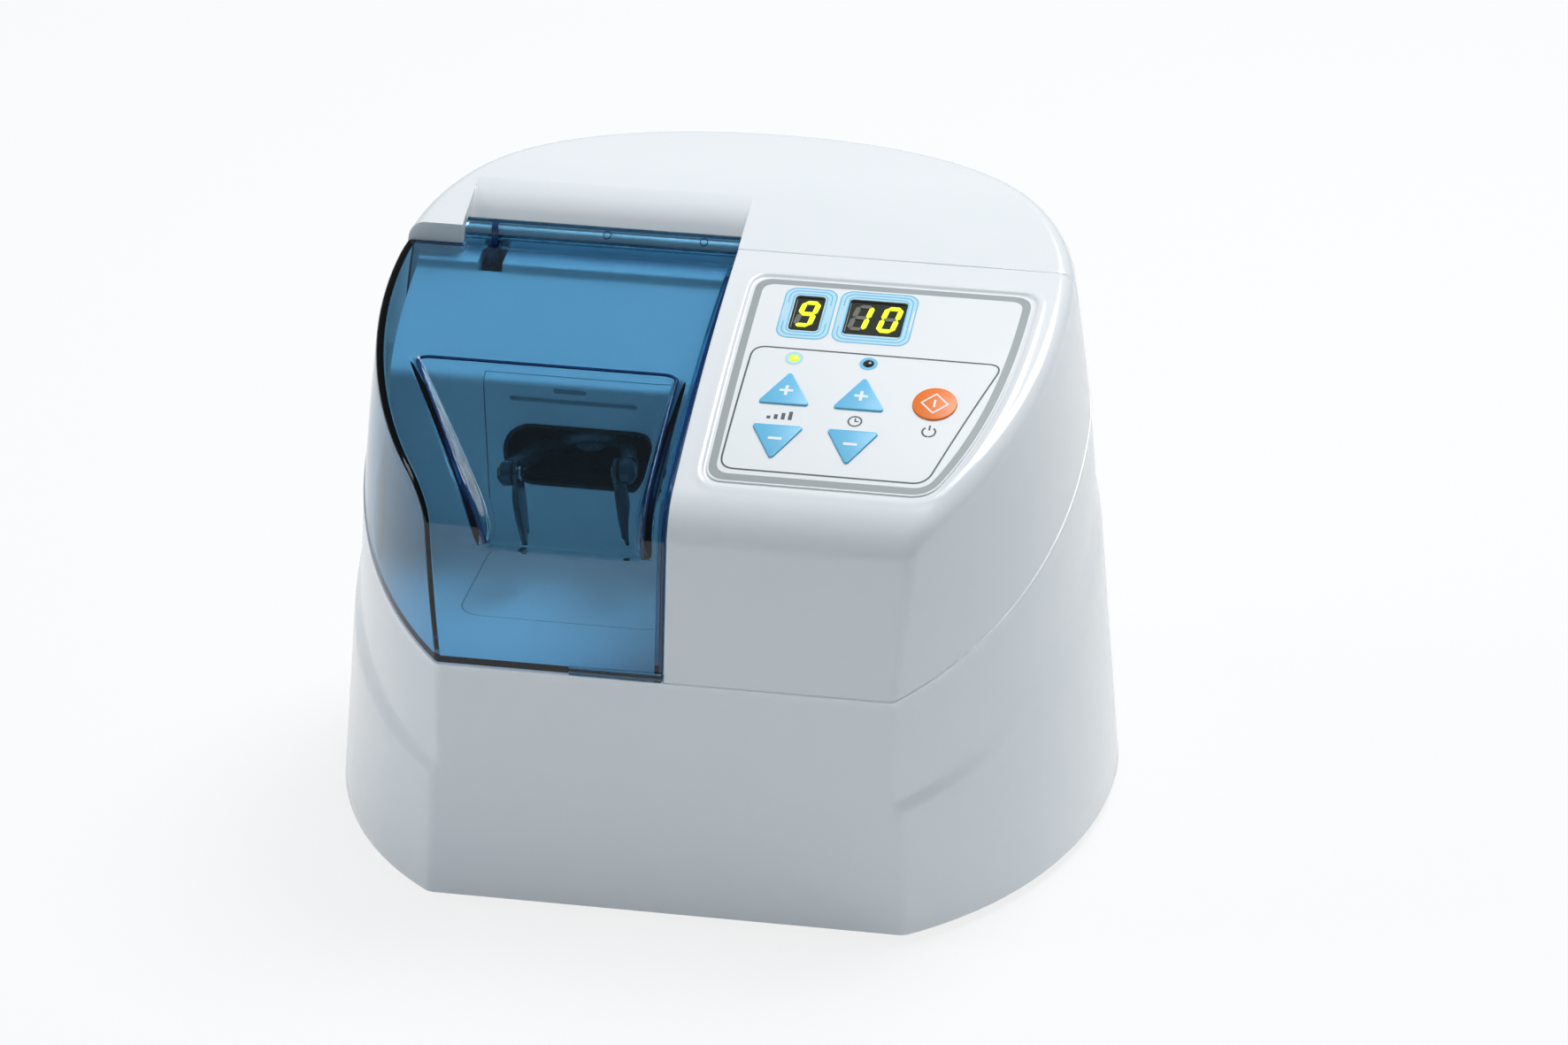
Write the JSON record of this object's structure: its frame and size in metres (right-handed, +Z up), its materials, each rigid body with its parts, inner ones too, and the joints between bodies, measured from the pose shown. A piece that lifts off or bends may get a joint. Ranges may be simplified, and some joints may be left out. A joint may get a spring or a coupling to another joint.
{
  "type": "capsule mixer",
  "caption": "Bench-top capsule mixer: tapered white case, tinted flip-up hood over a chamber with an oscillating fork, and a sloping key panel with digit displays.",
  "frame": {"origin": "centre of the footprint on the table, under the rubber feet", "axes": "+X to the right as the user faces the front, +Y to the rear, +Z up"},
  "size_m": [0.23, 0.1956, 0.173],
  "materials": {
    "white_shell": "gloss",
    "white_chamber": "satin",
    "blue_hood": "clear tinted",
    "panel_film": "printed film",
    "key_blue": "satin",
    "key_orange": "satin",
    "display_dark": "gloss",
    "lamp": "translucent",
    "rubber_black": "matte",
    "rubber_spring": "matte",
    "steel": "brushed",
    "steel_sheet": "zinc plated",
    "bearing_steel": "polished",
    "cast_frame": "cast",
    "motor_metal": "satin",
    "magnet": "sintered",
    "copper": "wound wire",
    "bronze": "sintered",
    "fork_dark": "satin",
    "core_steel": "laminated",
    "winding_tape": "taped",
    "board_green": "solder mask",
    "component_dark": "moulded",
    "cable_grey": "satin",
    "black_plastic": "textured",
    "red_rocker": "gloss"
  },
  "bodies": {
    "case": {"lower_case": "white_shell", "control_housing": "white_shell", "rear_cover": "white_shell", "chamber_housing": "white_chamber", "chamber_liner": "white_chamber", "opening_gasket": "rubber_black", "hinge_pin": "steel", "base_plate": "steel_sheet", "rubber_feet": "rubber_black", "foot_screws": "steel", "case_screws": "steel", "panel_sheet": "panel_film", "control_board": "board_green", "board_screws": "steel", "tact_switches": "component_dark", "display_speed": "display_dark", "display_timer": "display_dark", "indicator_lamps": "lamp", "drive_frame": "cast_frame", "isolators": "rubber_spring", "isolator_screws": "steel", "motor_can": "motor_metal", "motor_front_bell": "cast_frame", "motor_rear_bell": "cast_frame", "field_magnets": "magnet", "shaft_bushes": "bronze", "rocker_springs": "steel", "transformer_core": "core_steel", "transformer_coil": "winding_tape", "power_board": "board_green", "board_components": "component_dark", "ribbon_cable": "cable_grey", "power_inlet": "black_plastic", "inlet_pins": "steel", "switch_body": "black_plastic", "interlock_switch": "black_plastic"},
    "hood": {"hood": "blue_hood"},
    "rotor": {"drive_shaft": "steel", "armature": "copper", "eccentric_hub": "steel", "counterweights": "core_steel", "bearing_inner_ring": "bearing_steel"},
    "rocker": {"rocker_arm": "fork_dark", "capsule_clip_left": "fork_dark", "capsule_clip_right": "fork_dark", "clip_rivets": "steel", "bearing_outer_ring": "bearing_steel", "bearing_balls": "bearing_steel"},
    "key_speed_up": {"key_speed_up": "key_blue"},
    "key_speed_down": {"key_speed_down": "key_blue"},
    "key_timer_up": {"key_timer_up": "key_blue"},
    "key_timer_down": {"key_timer_down": "key_blue"},
    "key_start_stop": {"key_start_stop": "key_orange"},
    "switch_rocker": {"switch_rocker": "red_rocker"},
    "interlock_lever": {"interlock_lever": "steel"}
  },
  "joints": [
    {"name": "hood_hinge", "type": "hinge", "parent": "case", "child": "hood", "pos_m": [-0.0414, 0.0223, 0.158], "axis": [-1, 0, 0], "range_deg": [0, 115]},
    {"name": "rotor_spin", "type": "hinge", "parent": "case", "child": "rotor", "pos_m": [-0.038, 0.0258, 0.1075], "axis": [1, 0, 0], "continuous": true},
    {"name": "rocker_bearing", "type": "hinge", "parent": "rotor", "child": "rocker", "pos_m": [-0.038, 0.0258, 0.1075], "axis": [0.9945, 0, 0.1045], "continuous": true, "deforming": ["rocker_springs"]},
    {"name": "key_speed_up_press", "type": "slide", "parent": "case", "child": "key_speed_up", "axis": [0, 0.3447, -0.9387], "range_m": [0, 0.0005], "stiffness_N_per_m": 300, "springref_m": -0.001},
    {"name": "key_speed_down_press", "type": "slide", "parent": "case", "child": "key_speed_down", "axis": [0, 0.3774, -0.9261], "range_m": [0, 0.0005], "stiffness_N_per_m": 300, "springref_m": -0.001},
    {"name": "key_timer_up_press", "type": "slide", "parent": "case", "child": "key_timer_up", "axis": [0, 0.3447, -0.9387], "range_m": [0, 0.0005], "stiffness_N_per_m": 300, "springref_m": -0.001},
    {"name": "key_timer_down_press", "type": "slide", "parent": "case", "child": "key_timer_down", "axis": [0, 0.3774, -0.9261], "range_m": [0, 0.0005], "stiffness_N_per_m": 300, "springref_m": -0.001},
    {"name": "key_start_stop_press", "type": "slide", "parent": "case", "child": "key_start_stop", "axis": [0, 0.3445, -0.9388], "range_m": [0, 0.0005], "stiffness_N_per_m": 300, "springref_m": -0.001},
    {"name": "power_switch", "type": "hinge", "parent": "case", "child": "switch_rocker", "pos_m": [0.02, 0.0868, 0.0345], "axis": [-1, 0, 0], "range_deg": [0, 14]},
    {"name": "interlock_lever_pivot", "type": "hinge", "parent": "case", "child": "interlock_lever", "pos_m": [-0.0732, 0.0273, 0.1443], "axis": [-1, 0, 0], "range_deg": [0, 8.1]}
  ],
  "couplings": [
    {"joint": "rocker_bearing", "follows": "rotor_spin", "ratio": -1},
    {"joint": "interlock_lever_pivot", "follows": "hood_hinge", "ratio": 0.07}
  ]
}
